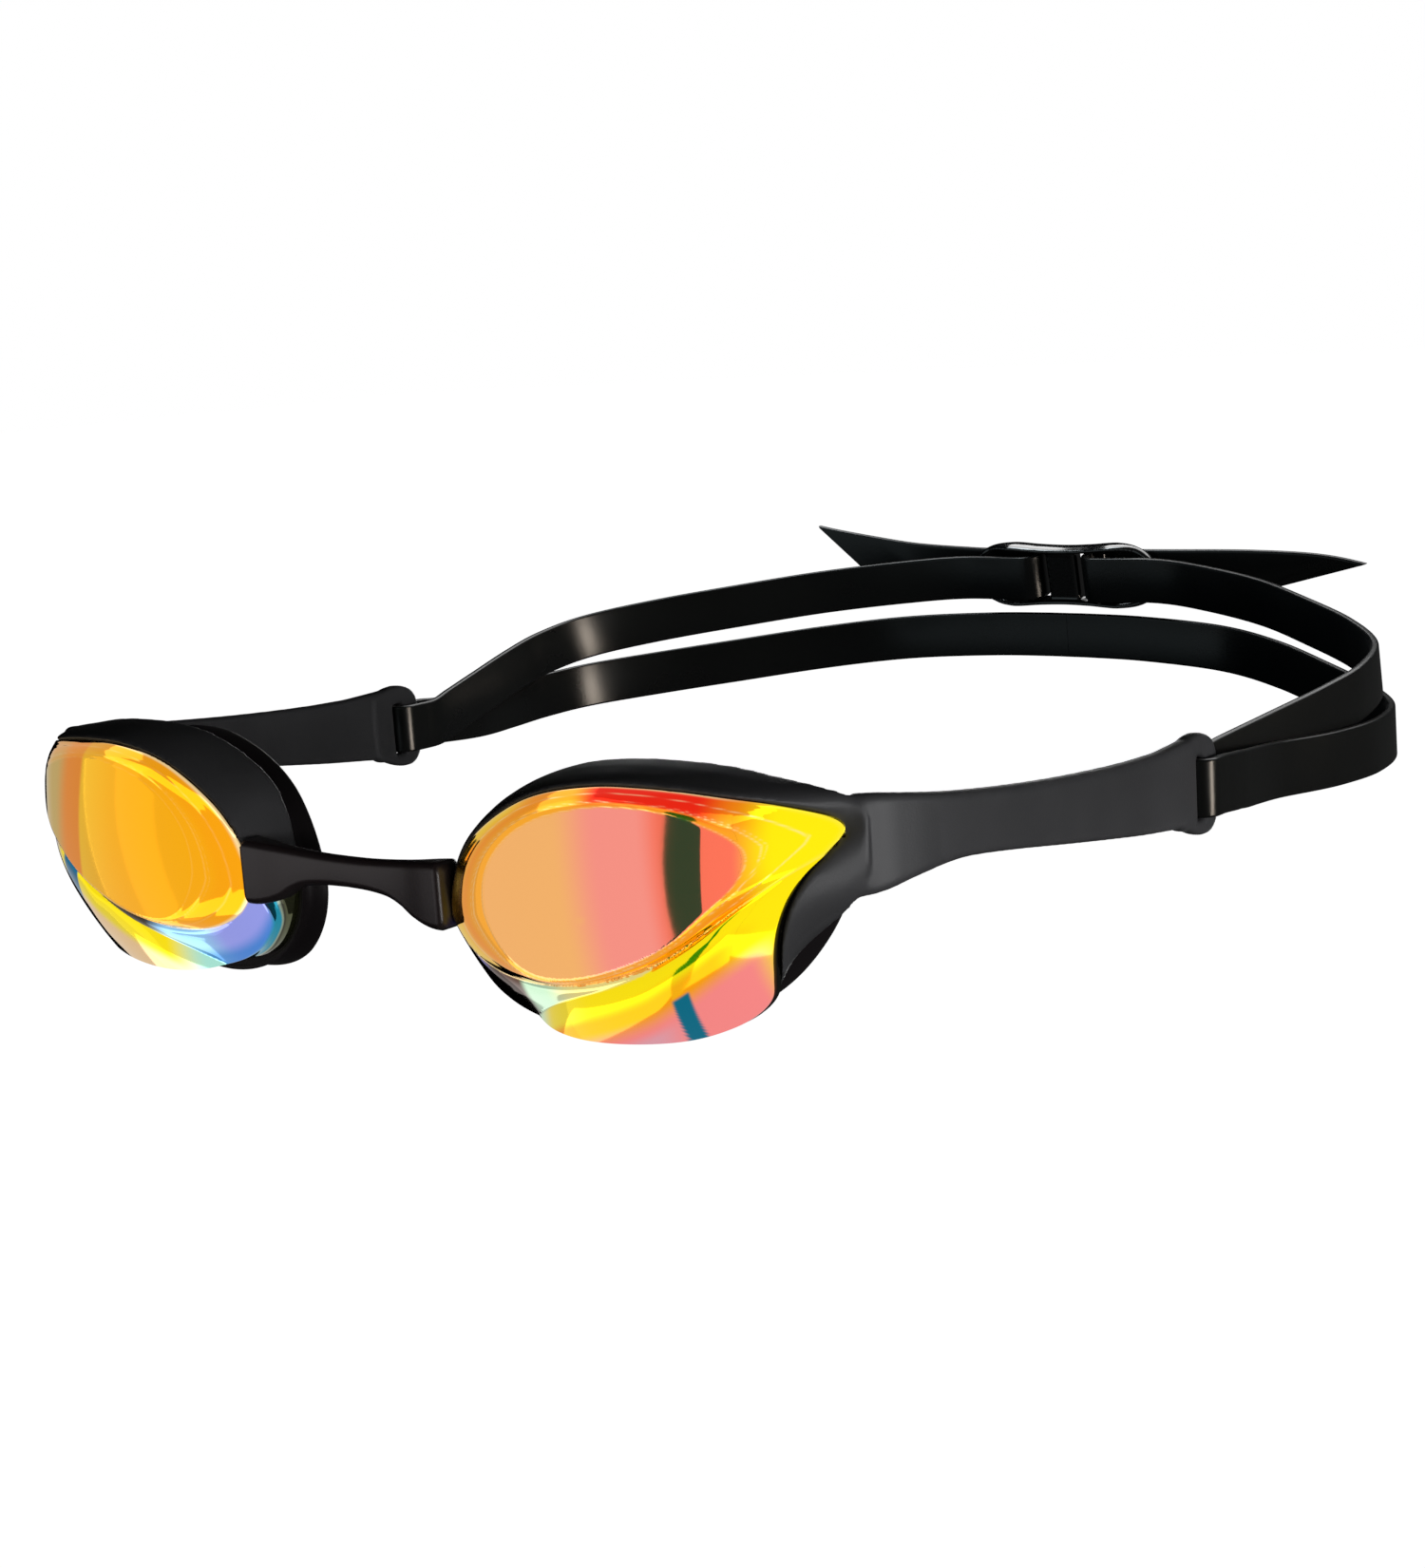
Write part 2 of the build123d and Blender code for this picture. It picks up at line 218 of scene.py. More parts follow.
# Tints painted on the mirror coat. Each is partly the coat's own colour and partly a painted reflection of
# the studio, so the two lenses are painted differently.
AMBER, SALMON, CORAL = (0.96, 0.47, 0.15), (0.98, 0.30, 0.24), (0.98, 0.17, 0.095)
GOLD, DEEP_GOLD, BURNT_GOLD = (1.0, 0.60, 0.0), (1.0, 0.44, 0.0), (0.90, 0.27, 0.004)
OLIVE, GREY_GREEN = (0.62, 0.42, 0.10), (0.30, 0.33, 0.20)
RIM_AMBER, RIM_ORANGE, BROW_RED = (1.0, 0.40, 0.006), (1.0, 0.30, 0.0), (1.0, 0.02, 0.004)
# Painted pale highlights: one along the window's outer edge (last on the next line), one along the rim's
# steps.
NOSE_YELLOW, TIP_YELLOW, PAINTED_EDGE_HIGHLIGHT = (1.0, 0.62, 0.0), (1.0, 0.82, 0.0), (1.0, 0.72, 0.34)
PAINTED_STEP_HIGHLIGHT = (1.0, 0.80, 0.42)
STEP_LINES = ((0.10, 0.012, 0.30), (0.34, 0.010, 0.45), (0.40, 0.006, 0.25), (0.72, 0.010, 0.45))
# Facet colours: painted reflections in the clear facet
PALE_GOLD, PALE_GREEN = (0.80, 0.66, 0.22), (0.40, 0.58, 0.40)
DARK_BROWN, PLUM = (0.06, 0.022, 0.010), (0.10, 0.075, 0.36)
FACET_BLACK, SKY = (0.035, 0.022, 0.012), (0.30, 0.60, 0.90)
VIOLET, DEEP_BLUE = (0.32, 0.35, 0.86), (0.01, 0.22, 0.66)
WING_YELLOW, WING_ORANGE, WING_PINK = (1.0, 0.78, 0.0), (1.0, 0.36, 0.0), (1.0, 0.26, 0.25)
WING_MAUVE, WING_LEMON, WING_MINT = (0.78, 0.36, 0.42), (1.0, 0.78, 0.02), (0.62, 0.88, 0.60)
PAINTED_TEAL_REFLECTION = (0.0, 0.15, 0.24)
WING_SAND, WING_AQUA = (0.94, 0.62, 0.30), (0.40, 0.78, 0.66)
WING_BLUE, WING_LILAC = (0.0, 0.13, 0.26), (0.55, 0.46, 0.52)


def all_over(colour, like):
    """One colour at every place of an array."""
    return np.broadcast_to(np.array(colour), like.shape + (3,))


def window_colours(u, v, out, side):
    """Towards the temple the left window runs from amber to coral, and the right one from gold to grey green.
    Both turn orange as out goes from 0 to 1 at the rim, whose steps carry fine pale painted highlight lines,
    and a pale painted highlight runs along the outer edge. These tints are partly the coat's own colour and
    partly painted reflection. The left window also has a red brow, and yellow at the nose and the tip."""
    lean = u + 0.12 * v
    if side > 0:
        colour = mix(all_over(AMBER, u), SALMON, ramp(lean, -5, 2))
        colour = mix(colour, CORAL, ramp(lean, 7, 11))
    else:
        colour = mix(all_over(GOLD, u), DEEP_GOLD, ramp(-lean, -14, 6))
        colour = mix(colour, BURNT_GOLD, ramp(lean, 6.2, 7.0))
        colour = mix(colour, OLIVE, ramp(lean, 10, 14))
        colour = mix(colour, GREY_GREEN, ramp(lean, 16, 21))
    amber_share, orange_share, step_highlight_share = (0.9, 0.8, 1) if side > 0 else (0.35, 0.3, 0.3)
    colour = mix(colour, RIM_AMBER, ramp(out, 0.02, 0.16) * amber_share)
    colour = mix(colour, RIM_ORANGE, ramp(out, 0.35, 0.60) * orange_share)
    if side > 0:
        brow = ramp(v, 8.5, 12.5) * ramp(u, -4, 0) * (1 - ramp(u, 13, 19))
        colour = mix(colour, BROW_RED, ramp(out, 0.10, 0.4) * brow)
        colour = mix(colour, NOSE_YELLOW, ramp(out, 0.55, 0.9) * (1 - ramp(u, -15, -9)))
        colour = mix(colour, TIP_YELLOW, ramp(u, 17.5, 21.5))
    # Fine pale painted highlight lines along the rim's steps
    for place, spread, strength in STEP_LINES:
        colour = mix(colour, PAINTED_STEP_HIGHLIGHT, strength * step_highlight_share * np.exp(-((out - place) / spread) ** 2))
    # Painted pale highlight along the window's outer edge
    return mix(colour, PAINTED_EDGE_HIGHLIGHT, ramp(out, 0.93, 0.99) * (1 - 0.9 * ramp(u, 14, 19)))


def facet_colours(u, below, side):
    """Towards the nose the left facet runs from pale gold through pale green and brown to plum, and the right
    one from black through sky blue to violet, with deep blue at its foot. These colours are painted
    reflections."""
    if side > 0:
        colour = mix(all_over(PALE_GOLD, u), PALE_GREEN, ramp(-u, 5, 11))
        colour = mix(colour, DARK_BROWN, ramp(-u, 13.5, 15))
        return mix(colour, PLUM, ramp(-u, 19.5, 21))
    colour = mix(all_over(FACET_BLACK, u), SKY, ramp(-u, 4, 9))
    colour = mix(colour, VIOLET, ramp(-u, 14, 19))
    return mix(colour, DEEP_BLUE, 0.8 * ramp(below, 2.6, 4.6) * ramp(-u, 8, 12))


def wing_colours(u, depth, side):
    """Yellow along the wing's ridge. With depth below it the left wing turns orange, then pink, with a small
    teal patch that is a painted reflection of a dark strip, and the right one turns sand, with aqua at the
    nose, and blue and lilac at the temple. These tints are partly the coat's own colour and partly painted
    reflection."""
    if side > 0:
        colour = mix(all_over(WING_YELLOW, u), WING_ORANGE, ramp(depth, 1.6, 3.8) * (1 - ramp(u, 14, 20)))
        colour = mix(colour, WING_PINK, ramp(depth, 4.8, 7.4) * (1 - ramp(u, 17.5, 21)))
        colour = mix(colour, WING_MAUVE, ramp(depth, 6.8, 8.4) * (1 - ramp(u, 4, 10)))
        colour = mix(colour, WING_LEMON, (1 - ramp(u, -9, -3)) * (1 - ramp(depth, 2.2, 3.6)))
        colour = mix(colour, WING_MINT, 1 - ramp(u, -15, -11))
        # The teal patch is a painted reflection of the dark green strip
        patch = ramp(depth, 4.9, 5.3) * ramp(u, 8.2, 8.5) * (1 - ramp(u, 10.5, 10.8))
        return mix(colour, PAINTED_TEAL_REFLECTION, patch)
    colour = mix(all_over(WING_YELLOW, u), WING_SAND, ramp(depth, 2.6, 4.4))
    colour = mix(colour, WING_AQUA, 1 - ramp(u, -13, -7))
    patch = ramp(u, 10.2, 10.6) * (1 - ramp(u, 13.5, 14.2)) * (1 - ramp(depth, 4.5, 6))
    colour = mix(colour, WING_BLUE, patch)
    return mix(colour, WING_LILAC, ramp(u, 14, 17))


def lens_colours(u, v, rim_share, side):
    """Colour of the coat, with painted reflections and highlights: the window's, then the facet's below the
    crease, then the wing's below its top.
    """
    crease, wing_top = height_along(u, CREASE), height_along(u, WING_TOP)
    colour = window_colours(u, v, 1 - rim_share, side)
    on_facet, on_wing = ramp(crease - v, -0.05, 0.10)[..., None], ramp(wing_top - v, -0.02, 0.10)[..., None]
    colour = colour + (facet_colours(u, crease - v, side) - colour) * on_facet
    return colour + (wing_colours(u, wing_top - v, side) - colour) * on_wing


# Wall colours: a smoke tint, with painted reflections and pale painted highlight lines
WALL_SMOKE, WALL_OLIVE, WALL_HIGHLIGHT_LINE = (0.028, 0.026, 0.018), (0.10, 0.11, 0.045), (0.62, 0.66, 0.42)
WALL_PAINTED_REFLECTION = {1: (0.09, 0.06, 0.24), -1: (0.0, 0.30, 0.44)}


def wall_colours(turn, depth, side):
    """Colour of the wall behind the edge: smoke, with a painted violet or teal reflection on the lower half
    nearest the nose, an olive painted reflection behind it, and fine pale painted highlight lines along the
    edge. Depth is 0 at the edge and 1 at the seal."""
    lower = ramp(np.cos(turn + np.radians(125)), 0.35, 0.8)
    colour = mix(all_over(WALL_SMOKE, depth), WALL_PAINTED_REFLECTION[side], 0.9 * lower * (1 - ramp(depth, 0.06, 0.22)))
    colour = mix(colour, WALL_OLIVE, 0.8 * lower * ramp(depth, 0.22, 0.4))
    for place in (0.16, 0.30, 0.46):
        colour = mix(colour, WALL_HIGHLIGHT_LINE, 0.5 * lower * np.exp(-((depth - place) / 0.018) ** 2))
    return colour


def new_material(name):
    """A material, its nodes, its links, its shader, and the object's own coordinates."""
    material = bpy.data.materials.new(name)
    material.use_nodes = True
    nodes = material.node_tree.nodes
    place = nodes.new("ShaderNodeTexCoord").outputs["Object"]
    return material, nodes, material.node_tree.links, nodes["Principled BSDF"], place


def lens_material(name, roughness, metal):
    """Thin mirror coat: a metal whose tint, which holds painted reflections and highlights, is painted on the
    surface, with faint waviness and haze.
    """
    material, nodes, links, shader, place = new_material(name)
    tint = nodes.new("ShaderNodeAttribute")
    tint.attribute_name = "coat_tint"
    haze = nodes.new("ShaderNodeTexNoise")
    haze.inputs["Scale"].default_value = 90.0
    haze.inputs["Detail"].default_value = 4.0
    spread = nodes.new("ShaderNodeMapRange")
    spread.inputs["To Min"].default_value = roughness * 0.7
    spread.inputs["To Max"].default_value = roughness * 1.4
    ripple = nodes.new("ShaderNodeBump")
    ripple.inputs["Strength"].default_value = 0.015
    ripple.inputs["Distance"].default_value = 0.0006
    shader.inputs["Metallic"].default_value = metal
    shader.inputs["Coat Weight"].default_value = 0.12
    shader.inputs["Coat Roughness"].default_value = 0.03
    links.new(place, haze.inputs["Vector"])
    links.new(haze.outputs["Fac"], spread.inputs["Value"])
    links.new(haze.outputs["Fac"], ripple.inputs["Height"])
    links.new(spread.outputs["Result"], shader.inputs["Roughness"])
    links.new(ripple.outputs["Normal"], shader.inputs["Normal"])
    links.new(tint.outputs["Color"], shader.inputs["Base Color"])
    return material


def smoked_material(name, tint, roughness):
    """Back of the lens: smoky polycarbonate whose tint drifts a little along the moulding."""
    material, nodes, links, shader, place = new_material(name)
    drift = nodes.new("ShaderNodeTexNoise")
    drift.inputs["Scale"].default_value = 60.0
    shade = nodes.new("ShaderNodeValToRGB")
    shade.color_ramp.elements[0].color = (*[part * 0.75 for part in tint], 1)
    shade.color_ramp.elements[1].color = (*tint, 1)
    shader.inputs["Roughness"].default_value = roughness
    shader.inputs["Coat Weight"].default_value = 0.4
    shader.inputs["Coat Roughness"].default_value = 0.03
    links.new(place, drift.inputs["Vector"])
    links.new(drift.outputs["Fac"], shade.inputs["Fac"])
    links.new(shade.outputs["Color"], shader.inputs["Base Color"])
    return material


mirror_coat = lens_material("mirror_coat", 0.06, 1.0)
coated_wall = lens_material("coated_wall", 0.05, 0.8)
lens_inside = smoked_material("lens_inside", (0.075, 0.042, 0.026), 0.12)

outline = through(LENS_OUTLINE, LENS_ANGLES)
lens_centre = np.array([-2.0, 0.0])


def reach_by_turn(curve, turns):
    """Distance from the lens's centre to a closed curve in each direction, read off the curve's points."""
    spokes = curve - lens_centre
    spoke_turns = np.arctan2(spokes[:, 1], spokes[:, 0])
    order = np.argsort(spoke_turns)
    return np.interp(turns, spoke_turns[order], np.linalg.norm(spokes, axis=1)[order], period=2 * np.pi)


ring_share = np.sqrt(np.linspace(0, 1, LENS_RINGS + 1)[1:])[:, None, None] ** 1.35
place_uv = lens_centre + ring_share * (outline - lens_centre)
lens_u, lens_v = place_uv[..., 0], place_uv[..., 1]
crease_line = through(CREASE, 500, closed=False)
brow_line = outline[outline[:, 1] > height_along(outline[:, 0], CREASE)]
window_edge = np.vstack([brow_line, crease_line[np.abs(crease_line[:, 0]) < 26]])
flat_edge = through(FLAT_ZONE, 300)
to_edge = edge_distance(lens_u, lens_v, window_edge)
to_flat = edge_distance(lens_u, lens_v, flat_edge)
from_centre = place_uv - lens_centre
place_turn = np.arctan2(from_centre[..., 1], from_centre[..., 0])
inside_flat = np.hypot(from_centre[..., 0], from_centre[..., 1]) < reach_by_turn(flat_edge, place_turn)
rim_share = np.where(inside_flat, 1.0, to_edge / np.maximum(to_edge + to_flat, 1e-6))
lens_w = lens_front(lens_u, lens_v, rim_share)

# The wall runs from the front's edge back to the base curve, and the inside runs forward again
BASE_CURVE = [(-26.3, -3.0), (-20.2, 8.2), (-8, 13.6), (6, 14.2), (17, 10.6), (20.6, 3), (16, -7), (4, -13.6),
              (-10, -15.2), (-21.6, -12.6)]
edge_u, edge_v, edge_w = lens_u[-1], lens_v[-1], lens_w[-1]
edge_turn = place_turn[-1]
spoke = np.stack([np.cos(edge_turn), np.sin(edge_turn)], 1)
base = lens_centre + reach_by_turn(through(BASE_CURVE, LENS_ANGLES), edge_turn)[:, None] * spoke
wall_shares = np.linspace(0.08, 1, 12)
drawn_in = np.minimum(1, wall_shares * 3)[:, None]
lip_w = edge_w - EDGE_LIP
lip_rows = in_cup(edge_u, edge_v, edge_w - EDGE_LIP * np.array([[0.5], [1.0]]))
wall_rows = in_cup(edge_u + (base[:, 0] - edge_u) * drawn_in, edge_v + (base[:, 1] - edge_v) * drawn_in,
                   lip_w + (np.minimum(lip_w, CUP_BASE) - lip_w) * wall_shares[:, None])
inward = np.linspace(1, 0.02, 26)[:, None]
inner_u = lens_centre[0] + (base[:, 0] - lens_centre[0]) * 0.916 * inward**0.7
inner_v = lens_centre[1] + (base[:, 1] - lens_centre[1]) * 0.8865 * inward**0.7
inner_front = lens_front(inner_u, inner_v, np.ones_like(inner_u)) - LENS_THICK
inner_rise = CUP_BASE + (inner_front - CUP_BASE) * (1 - inward) / 0.20
inner_rows = in_cup(inner_u, inner_v, np.maximum(np.where(inward > 0.80, inner_rise, inner_front), CUP_BASE))
rows = np.concatenate([in_cup(lens_u, lens_v, lens_w), lip_rows, wall_rows, inner_rows])
middle_w = lens_front(lens_centre[:1], lens_centre[1:], np.ones(1))[0]
front_pole = in_cup(*lens_centre, middle_w)
points = np.vstack([rows.reshape(-1, 3), front_pole, front_pole - LENS_THICK * FORWARD])

ring = np.arange(LENS_ANGLES)
next_in_ring = (ring + 1) % LENS_ANGLES
last_ring = (len(rows) - 1) * LENS_ANGLES
first_pole, last_pole = len(points) - 2, len(points) - 1
faces = [face[::-1] for face in grid_faces(len(rows), LENS_ANGLES)]
faces += np.stack([np.full(LENS_ANGLES, first_pole), next_in_ring, ring], 1).tolist()
faces += np.stack([np.full(LENS_ANGLES, last_pole), last_ring + ring, last_ring + next_in_ring], 1).tolist()
wall_share = np.broadcast_to(np.concatenate([[0.0, 0.04], wall_shares])[:, None], (14, LENS_ANGLES))
wall_end = LENS_RINGS + len(wall_share)
row_of_face = np.repeat(np.r_[np.arange(len(rows) - 1), 0, len(rows)], LENS_ANGLES)
material_of_face = (row_of_face >= LENS_RINGS).astype(np.int32) + (row_of_face >= wall_end - 1)

for side_name, side in SIDES:
    lens = add_mesh(f"lens_shell_{side_name}", points, faces, side)
    for material in (mirror_coat, coated_wall, lens_inside):
        lens.data.materials.append(material)
    lens.data.polygons.foreach_set("material_index", material_of_face)
    # The tints of the coat and the wall hold painted reflections and highlights
    front_tint = lens_colours(lens_u, lens_v, rim_share, side).reshape(-1, 3)
    wall_tint = wall_colours(edge_turn, wall_share, side).reshape(-1, 3)
    tint = np.ones((len(points), 4), np.float32)
    tint[: len(front_tint), :3] = front_tint
    tint[len(front_tint): wall_end * LENS_ANGLES, :3] = wall_tint
    tint[first_pole, :3] = front_tint[0]
    lens.data.attributes.new("coat_tint", "FLOAT_COLOR", "POINT").data.foreach_set("color", tint.ravel())
    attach(lens, f"eyecup_{side_name}")
    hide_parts(f"lens_{side_name}")

# ---------------------------------------------------------------------------------------------
# Frames. Each is one stiff moulding: a rim that hugs the lens over the brow and round the temple,
# an arm swept back from it, and a slotted end that the strap passes through.
# ---------------------------------------------------------------------------------------------
RIM_FRONT = [
    (-25.0, 0.8), (-23.2, 4.8), (-19.8, 8.4), (-14.2, 11.9), (-8.5, 14.0), (-1.4, 15.1), (4.5, 15.2),
    (10.5, 14.9), (16.0, 14.3), (20.5, 13.4), (24.3, 12.0), (26.5, 10.3), (25.4, 7.6), (23.6, 5.4),
    (22.2, 3.0), (20.9, -0.2), (19.9, -3.6), (19.1, -6.8), (18.2, -9.2), (16.8, -11.0),
]
RIM_BACK = [
    (-26.0, 1.4), (-25.0, 6.0), (-22.2, 10.2), (-16.4, 13.5), (-8.6, 15.9), (-0.8, 16.7), (5.4, 16.7),
    (12.0, 16.3), (17.8, 15.4), (23.0, 14.6), (27.2, 13.6), (29.4, 11.4), (29.6, 7.4), (29.0, 4.4),
    (27.8, 1.9), (25.2, -0.6), (21.8, -3.1), (18.4, -5.9), (15.2, -8.8), (12.6, -11.4),
]
RIM_ROWS, RIM_REAR = 150, -9.3
ARM_ROWS = 90
ARM_PLAN = [
    (69.6, 11.2), (71.6, 12.4), (73.1, 14.9), (74.7, 21.0), (75.6, 33.0), (75.9, 50.0), (75.8, 68.0),
    (75.4, 80.0),
]
ARM_TOP = [
    (10.0, 12.3), (12.5, 12.4), (16.0, 11.9), (23.0, 10.8), (33.0, 9.5), (45.0, 8.2), (57.0, 7.2),
    (66.0, 6.7), (72.0, 6.6), (80.0, 6.9),
]
ARM_FOOT = [
    (10.0, 0.0), (13.0, 1.0), (17.0, 2.0), (22.0, 2.6), (27.0, 2.4), (36.0, 1.2), (48.0, -0.7),
    (57.0, -2.1), (65.0, -3.3), (72.0, -4.2), (80.0, -5.2),
]
ARM_HALF, ARM_CORNER, ARM_TIP_X = 1.2, 0.8, 75.35
ARM_END_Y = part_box("frame_left")[1][1] / MM


def rounded_section(half_across, half_along, corner, count=6):
    """Points round rectangles with round corners, anticlockwise: one row for each pair of halves."""
    half_across, half_along = np.broadcast_arrays(half_across, half_along)
    corner = np.minimum(corner, np.minimum(half_across, half_along))[..., None]
    arc = np.linspace(0, np.pi / 2, count)
    round_x, round_y = corner * np.cos(arc), corner * np.sin(arc)
    x, y = half_across[..., None] - corner, half_along[..., None] - corner
    back_x, back_y = round_x[..., ::-1], round_y[..., ::-1]
    across = np.concatenate([x + round_x, -x - back_x, -x - round_x, x + back_x], -1)
    along = np.concatenate([y + round_y, y + back_y, -y - round_y, -y - back_y], -1)
    return across, along


def rim_points():
    """The rim as a band. Each row goes from the lens edge back to the seal outside, and forward again inside.
    Its thickness grows as the sine of its place along the rim, to the power 0.35."""
    front, rear = (through(line, RIM_ROWS, closed=False) for line in (RIM_FRONT, RIM_BACK))
    ahead = np.gradient(front, axis=0)
    out = np.stack([-ahead[:, 1], ahead[:, 0]], 1)
    out /= np.linalg.norm(out, axis=1)[:, None]
    edge_w = lens_front(front[:, 0], front[:, 1], np.zeros(RIM_ROWS)) - 0.1
    wall = 0.5 + 1.6 * np.sin(np.linspace(0, np.pi, RIM_ROWS)) ** 0.35

    def place(share, lift, back):
        """A column: its share of the way to the rear line, its lift off the band, its share of the depth."""
        flat = front + (rear - front) * share + out * np.reshape(lift, (-1, 1))
        return in_cup(flat[:, 0], flat[:, 1], edge_w + (RIM_REAR - edge_w) * back)

    outside = [place(*column) for column in ((0, 0.30, 0), (0.10, 0.45, 0.06), (0.35, 0.50, 0.3),
                                             (0.65, 0.40, 0.6), (0.92, 0.15, 0.9), (1, 0, 1))]
    inside = [place(1, -wall, 1), place(0.5, -wall, 0.55), place(0.1, -wall * 0.7, 0.25),
              place(0, -0.5, 1.2 / (edge_w - RIM_REAR))]
    return np.stack(outside + inside, 1)


def arm_points():
    """The arm: a flat bar with soft edges whose height and place change along its length. Its outer face is
    crowned by a ridge that falls off as the distance from the middle to the power 1.4."""
    plan = through(ARM_PLAN, ARM_ROWS, closed=False)
    top, foot = height_along(plan[:, 1], ARM_TOP), height_along(plan[:, 1], ARM_FOOT)
    ahead = np.gradient(plan, axis=0)
    ahead /= np.linalg.norm(ahead, axis=1)[:, None]
    out = np.stack([ahead[:, 1], -ahead[:, 0]], 1)
    half_height = (top - foot) / 2
    across, along = rounded_section(ARM_HALF, half_height, ARM_CORNER)
    ridge = 0.25 + 0.5 * np.clip((45 - plan[:, 1]) / 35, 0, 1)
    crown = ridge[:, None] * (1 - np.abs(along / half_height[:, None]) ** 1.4) * (across > 0)
    flat = plan[:, None] + (across + crown)[..., None] * out[:, None]
    return np.concatenate([flat, (along + (top + foot)[:, None] / 2)[..., None]], -1)


def arm_tip_points():
    """The slotted end: a ring between the slot's outline and the tip's outline, with rounded edges."""
    slot = np.array([(79.0, 4.2), (82.3, 4.0), (82.3, -4.4), (79.0, -4.6), (79.0, 4.2)])
    tip = [(75.5, 5.2), (78.0, 6.7), (80.8, 7.2), (83.4, 6.8), (85.2, 5.6), (ARM_END_Y, 3.2),
           (ARM_END_Y, -2.8), (85.5, -5.2), (83.8, -6.6), (81.0, -6.6), (78.0, -5.5), (75.5, -4.0)]
    middle = np.array([80.6, -0.2])
    corners_at = np.r_[0, np.cumsum(np.linalg.norm(np.diff(slot, axis=0), axis=1))]
    along = np.linspace(0, corners_at[-1], 400, endpoint=False)
    inner = np.column_stack([np.interp(along, corners_at, slot[:, i]) for i in (0, 1)])
    angles = np.linspace(-np.pi, np.pi, 120, endpoint=False)
    ray = np.column_stack([np.cos(angles), np.sin(angles)])

    def ring(curve, lift, inset):
        """The curve at one lift off the arm's middle, drawn in or out by an inset."""
        spokes = curve - middle
        turns = np.arctan2(spokes[:, 1], spokes[:, 0])
        order = np.argsort(turns)
        reach = np.interp(angles, turns[order], np.linalg.norm(spokes, axis=1)[order], period=2 * np.pi)
        flat = middle + ray * (reach + inset)[:, None]
        return np.column_stack([np.full(len(flat), ARM_TIP_X + lift * ARM_HALF), flat])

    outer = through(tip, 500)
    rings = [ring(outer, lift, -inset) for lift, inset in ((-1, 0.35), (-0.6, 0), (0.6, 0), (1, 0.35))]
    rings += [ring(inner, lift, inset) for lift, inset in ((1, 0.35), (0.6, 0), (-0.6, 0), (-1, 0.35))]
    return np.stack(rings, 1)


def moulding_material(name, colour, roughness, grain, grain_size, gloss):
    """Moulded plastic: one colour with a faint mottle, a fine spark-eroded grain, and uneven sheen."""
    material, nodes, links, shader, place = new_material(name)
    mottle = nodes.new("ShaderNodeTexNoise")
    mottle.inputs["Scale"].default_value = 45.0
    mottle.inputs["Detail"].default_value = 5.0
    shade = nodes.new("ShaderNodeValToRGB")
    shade.color_ramp.elements[0].position, shade.color_ramp.elements[1].position = 0.3, 0.7
    shade.color_ramp.elements[0].color = (*[part * 0.82 for part in colour], 1)
    shade.color_ramp.elements[1].color = (*[part * 1.15 for part in colour], 1)
    spread = nodes.new("ShaderNodeMapRange")
    spread.inputs["To Min"].default_value = roughness * 0.88
    spread.inputs["To Max"].default_value = roughness * 1.12
    texture = nodes.new("ShaderNodeTexNoise")
    texture.inputs["Scale"].default_value = grain_size
    texture.inputs["Detail"].default_value = 2.0
    bump = nodes.new("ShaderNodeBump")
    bump.inputs["Strength"].default_value = grain
    bump.inputs["Distance"].default_value = 0.0001
    shader.inputs["Specular IOR Level"].default_value = gloss
    for noise in (mottle, texture):
        links.new(place, noise.inputs["Vector"])
    links.new(mottle.outputs["Fac"], shade.inputs["Fac"])
    links.new(mottle.outputs["Fac"], spread.inputs["Value"])
    links.new(shade.outputs["Color"], shader.inputs["Base Color"])
    links.new(spread.outputs["Result"], shader.inputs["Roughness"])
    links.new(texture.outputs["Fac"], bump.inputs["Height"])
    links.new(bump.outputs["Normal"], shader.inputs["Normal"])
    return material


def melt_together(name, shells, voxel, passes, side):
    """Joins overlapping closed shells into one skin on a fine grid of cells, then eases the skin smooth."""
    points, faces, start = [], [], 0
    for shell, shell_faces in shells:
        flat = shell.reshape(-1, 3)
        points.append(flat)
        faces += [[i + start for i in face] for face in shell_faces]
        start += len(flat)
    piece = add_mesh(name, np.vstack(points), faces, side)
    remesh = piece.modifiers.new("one skin", "REMESH")
    remesh.mode, remesh.voxel_size, remesh.use_smooth_shade = "VOXEL", voxel * MM, True
    ease = piece.modifiers.new("ease", "SMOOTH")
    ease.factor, ease.iterations = 0.5, passes
    settled = bpy.data.meshes.new_from_object(piece.evaluated_get(bpy.context.evaluated_depsgraph_get()))
    piece.modifiers.clear()
    piece.data = settled
    settled.name = name
    return piece


frame_plastic = moulding_material("frame_plastic", (0.058, 0.058, 0.061), 0.45, 0.22, 4200.0, 0.30)
rim, arm, arm_tip = rim_points(), arm_points(), arm_tip_points()
frame_shells = [(rim, grid_faces(*rim.shape[:2], caps=True)), (arm, grid_faces(*arm.shape[:2], caps=True)),
                (arm_tip, grid_faces(*arm_tip.shape[:2], wrap_rows=True))]
for side_name, side in SIDES:
    moulding = melt_together(f"frame_moulding_{side_name}", frame_shells, voxel=0.30, passes=12, side=side)
    moulding.data.materials.append(frame_plastic)
    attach(moulding, f"eyecup_{side_name}")
    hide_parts(f"frame_{side_name}")

